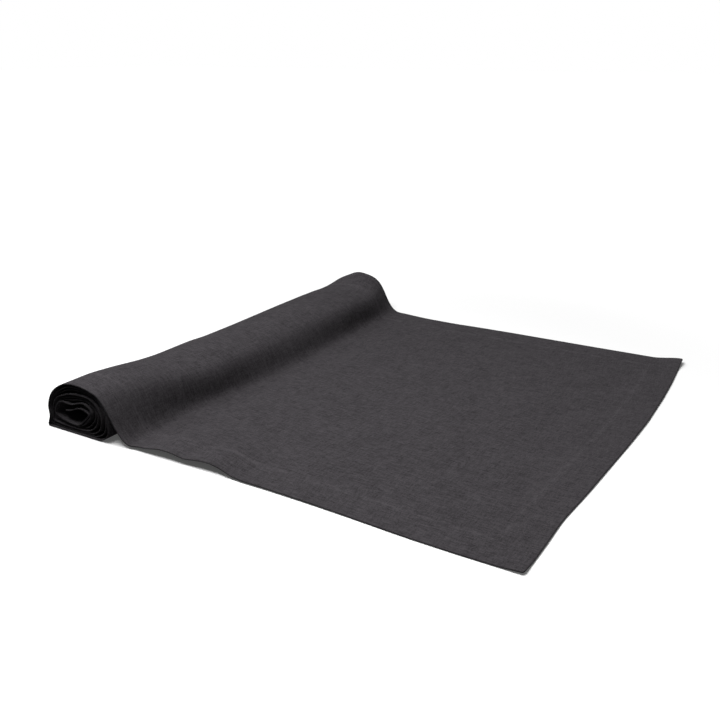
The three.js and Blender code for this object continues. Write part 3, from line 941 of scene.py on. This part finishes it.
def linen_finish(name, deep, light, roughness, weave_depth):
    """Dyed linen: each yarn its own depth of colour, with painted shade between yarns and on the folds."""

    def dyed(dye, mark, share):
        return b.math("ADD", dye, b.math("MULTIPLY", mark, share))

    material, b, shader = new_material(name)
    place = b.node("ShaderNodeAttribute", {"attribute_name": "cloth_place"}).outputs["Vector"]
    weave = b.node("ShaderNodeGroup", {"node_tree": WEAVE}, Place=place)
    set_up(weave, {"Yarns per Metre": 1550.0, "Slub Length": 0.008, "Wander": 0.9})
    yarn_tone, streaks = weave.outputs["Yarn Tone"], weave.outputs["Streaks"]
    marks = b.node("ShaderNodeGroup", {"node_tree": HEM_MARKS}, Place=place)
    set_up(marks, {"Pucker Length": 0.009})
    parts = b.node("ShaderNodeSeparateXYZ", Vector=place).outputs
    flat_place = b.join(parts[0], parts[1], 0.0)
    cloudy = b.noise(flat_place, CLOUDS_PER_METRE, 3.0, 0.55)
    specks = b.noise(flat_place, SPECKS_PER_METRE, 3.0, 0.7)
    dye = b.math("MULTIPLY_ADD", yarn_tone, DYE_BY_YARN, b.math("MULTIPLY", streaks, DYE_BY_STREAKS))
    dye = dyed(dye, b.math("SUBTRACT", cloudy, 0.5), DYE_BY_CLOUDS)
    dye = dyed(dye, b.math("SUBTRACT", specks, 0.5), DYE_BY_SPECKS)
    dye = dyed(dye, marks.outputs["Seam"], DYE_BY_SEAM)
    dye = dyed(dye, marks.outputs["Hem"], DYE_BY_HEM)
    colour = b.blend(b.ramp(dye, 0.23, 0.97), (*deep, 1), (*light, 1))
    # Painted shade between the yarns, where they lie low.
    gap_shade = b.math("MULTIPLY", weave.outputs["Gaps"], GAP_SHADE)
    fold_shade = b.math("MULTIPLY", marks.outputs["Fold"], FOLD_SHADE)
    # Painted shade: a darker copy of the deep dye, blended in over the yarn gaps and the folded edges.
    painted_shade_colour = tuple(channel * SHADE_DEPTH for channel in deep)
    colour = b.blend(b.math("MAXIMUM", gap_shade, fold_shade), colour, (*painted_shade_colour, 1))
    b.feed(shader.inputs["Base Color"], colour)
    b.feed(shader.inputs["Roughness"], b.ramp(yarn_tone, 0.2, 0.8, roughness + 0.05, roughness - 0.07))
    set_up(shader, {"Specular IOR Level": 0.05, "Diffuse Roughness": 0.3})
    set_up(shader, {"Sheen Weight": 0.01, "Sheen Roughness": 0.6})
    slubs = b.math("MULTIPLY", streaks, SLUB_RISE)
    puckers = b.math("MULTIPLY", marks.outputs["Pucker"], PUCKER_RISE)
    height = b.math("ADD", weave.outputs["Height"], b.math("ADD", slubs, puckers))
    bump = b.node("ShaderNodeBump", Height=height)
    set_up(bump, {"Strength": 0.75, "Distance": weave_depth})
    b.feed(shader.inputs["Normal"], bump.outputs["Normal"])
    return material


def thread_finish():
    """Spun sewing thread, a shade lighter than the linen, with its twist."""
    material, b, shader = new_material("sewing_thread")
    place = b.node("ShaderNodeTexCoord").outputs["Object"]
    uneven = b.noise(place, 900.0, 2.0)
    colour = b.blend(b.ramp(uneven, 0.3, 0.7), (0.035, 0.0325, 0.035, 1), (0.075, 0.07, 0.075, 1))
    b.feed(shader.inputs["Base Color"], colour)
    b.feed(shader.inputs["Roughness"], b.ramp(uneven, 0.3, 0.7, 0.72, 0.58))
    set_up(shader, {"Specular IOR Level": 0.35, "Sheen Weight": 0.1})
    twist = b.node("ShaderNodeTexWave", {"bands_direction": "DIAGONAL"}, Vector=place)
    set_up(twist, {"Scale": 900.0, "Distortion": 1.0})
    bump = b.node("ShaderNodeBump", Height=twist.outputs["Fac"])
    set_up(bump, {"Strength": 0.6, "Distance": 0.00008})
    b.feed(shader.inputs["Normal"], bump.outputs["Normal"])
    return material


# The floor brightens towards the backdrop between these distances, in metres, by these amounts.
GLOW_FROM_TO = (0.2, 1.0)
GLOW_LEAST_MOST = (0.06, 1.0)


def floor_finish():
    """A pale floor that goes over into the white of the backdrop, and throws little light up."""
    material, b, shader = new_material("pale_floor")
    place = b.node("ShaderNodeTexCoord").outputs["Object"]
    uneven = b.noise(place, 3.0, 2.0)
    colour = b.blend(uneven, (0.86, 0.86, 0.86, 1), (0.88, 0.88, 0.88, 1))
    seen = b.node("ShaderNodeLightPath").outputs["Is Camera Ray"]
    b.feed(shader.inputs["Base Color"], b.blend(seen, (0.14, 0.14, 0.14, 1), colour))
    away = b.node("ShaderNodeVectorMath", {"operation": "LENGTH"})
    b.feed(away.inputs[0], place)
    glow = b.ramp(away.outputs["Value"], *GLOW_FROM_TO, *GLOW_LEAST_MOST)
    b.feed(shader.inputs["Emission Strength"], b.math("MULTIPLY", seen, glow))
    set_up(shader, {"Roughness": 0.95, "Specular IOR Level": 0.1, "Emission Color": (1, 1, 1, 1)})
    return material


# ---------------------------------------------------------------- the runner

cloth = make_cloth()
hems = make_hems()
sewing = make_sewing()

WEAVE_DEPTH = 0.00035
DEEP_DYE, LIGHT_DYE = (0.019, 0.0172, 0.019), (0.082, 0.0755, 0.082)
DEEP_WRONG_SIDE, LIGHT_WRONG_SIDE = (0.017, 0.0155, 0.017), (0.07, 0.0645, 0.07)
ROUGHNESS, WRONG_SIDE_ROUGHNESS = 0.9, 0.92
linen = linen_finish("charcoal_linen", DEEP_DYE, LIGHT_DYE, ROUGHNESS, WEAVE_DEPTH)
turned = linen_finish(
    "charcoal_linen_wrong_side", DEEP_WRONG_SIDE, LIGHT_WRONG_SIDE, WRONG_SIDE_ROUGHNESS, WEAVE_DEPTH
)
thread = thread_finish()
cloth.data.materials.append(linen)
for hem in hems:
    hem.data.materials.append(turned)
for row in sewing:
    row.data.materials.append(thread)

# ---------------------------------------------------------------- floor, light and camera

FLOOR_HALF = 12.0
# The floor lies this far under the frame's zero, clear of the stitches on the underside.
FLOOR_UNDER = 0.0002
floor_mesh = bpy.data.meshes.new("floor")
floor_corners = [(x * FLOOR_HALF, y * FLOOR_HALF, 0) for x, y in ((-1, -1), (1, -1), (1, 1), (-1, 1))]
floor_mesh.from_pydata(floor_corners, [], [(0, 1, 2, 3)])
floor = bpy.data.objects.new("floor", floor_mesh)
floor.location.z = -FLOOR_UNDER
floor.data.materials.append(floor_finish())
bpy.context.scene.collection.objects.link(floor)


def add_sun(name, towards, strength, spread):
    """A wide soft light. towards points from the runner to the light."""
    light = bpy.data.lights.new(name, "SUN")
    light.energy = strength
    light.angle = math.radians(spread)
    lamp = bpy.data.objects.new(name, light)
    lamp.rotation_mode = "QUATERNION"
    lamp.rotation_quaternion = Vector(towards).to_track_quat("Z", "Y")
    bpy.context.scene.collection.objects.link(lamp)


def add_softbox(name, place, watts, width):
    """A square softbox hung at place, in metres, and turned to the runner."""
    light = bpy.data.lights.new(name, "AREA")
    light.energy = watts
    light.size = width
    lamp = bpy.data.objects.new(name, light)
    lamp.location = place
    lamp.rotation_mode = "QUATERNION"
    lamp.rotation_quaternion = Vector(place).to_track_quat("Z", "Y")
    bpy.context.scene.collection.objects.link(lamp)


add_softbox("overhead_softbox", (-0.11, -0.33, 0.8), watts=8.3, width=0.45)
add_sun("left_softbox", (-0.62, 0.0, 0.75), strength=1.5, spread=40.0)

# The backdrop's white as it is seen, and the little light that it throws on the runner.
BACKDROP_SEEN, BACKDROP_LIGHT = 1.0, 0.08

world = bpy.data.worlds.new("studio")
world.use_nodes = True
backdrop = Bench(world.node_tree)
background = next(n for n in world.node_tree.nodes if n.type == "BACKGROUND")
seen = backdrop.node("ShaderNodeLightPath").outputs["Is Camera Ray"]
strength = backdrop.math("MULTIPLY_ADD", seen, BACKDROP_SEEN - BACKDROP_LIGHT, BACKDROP_LIGHT)
backdrop.feed(background.inputs["Color"], (1, 1, 1, 1))
backdrop.feed(background.inputs["Strength"], strength)
bpy.context.scene.world = world
bpy.context.scene.view_settings.view_transform = "Standard"

CAMERA_PLACE = (0.3583, -0.6602, 0.3093)
CAMERA_DOWN = math.radians(20.28)
CAMERA_TURN = math.radians(31.18)
CAMERA_LENS = 41.90

lens = bpy.data.cameras.new("camera")
lens.lens = CAMERA_LENS
lens.sensor_width = 36.0
camera = bpy.data.objects.new("camera", lens)
camera.location = CAMERA_PLACE
camera.rotation_euler = (math.pi / 2 - CAMERA_DOWN, 0.0, CAMERA_TURN)
bpy.context.scene.collection.objects.link(camera)
bpy.context.scene.camera = camera
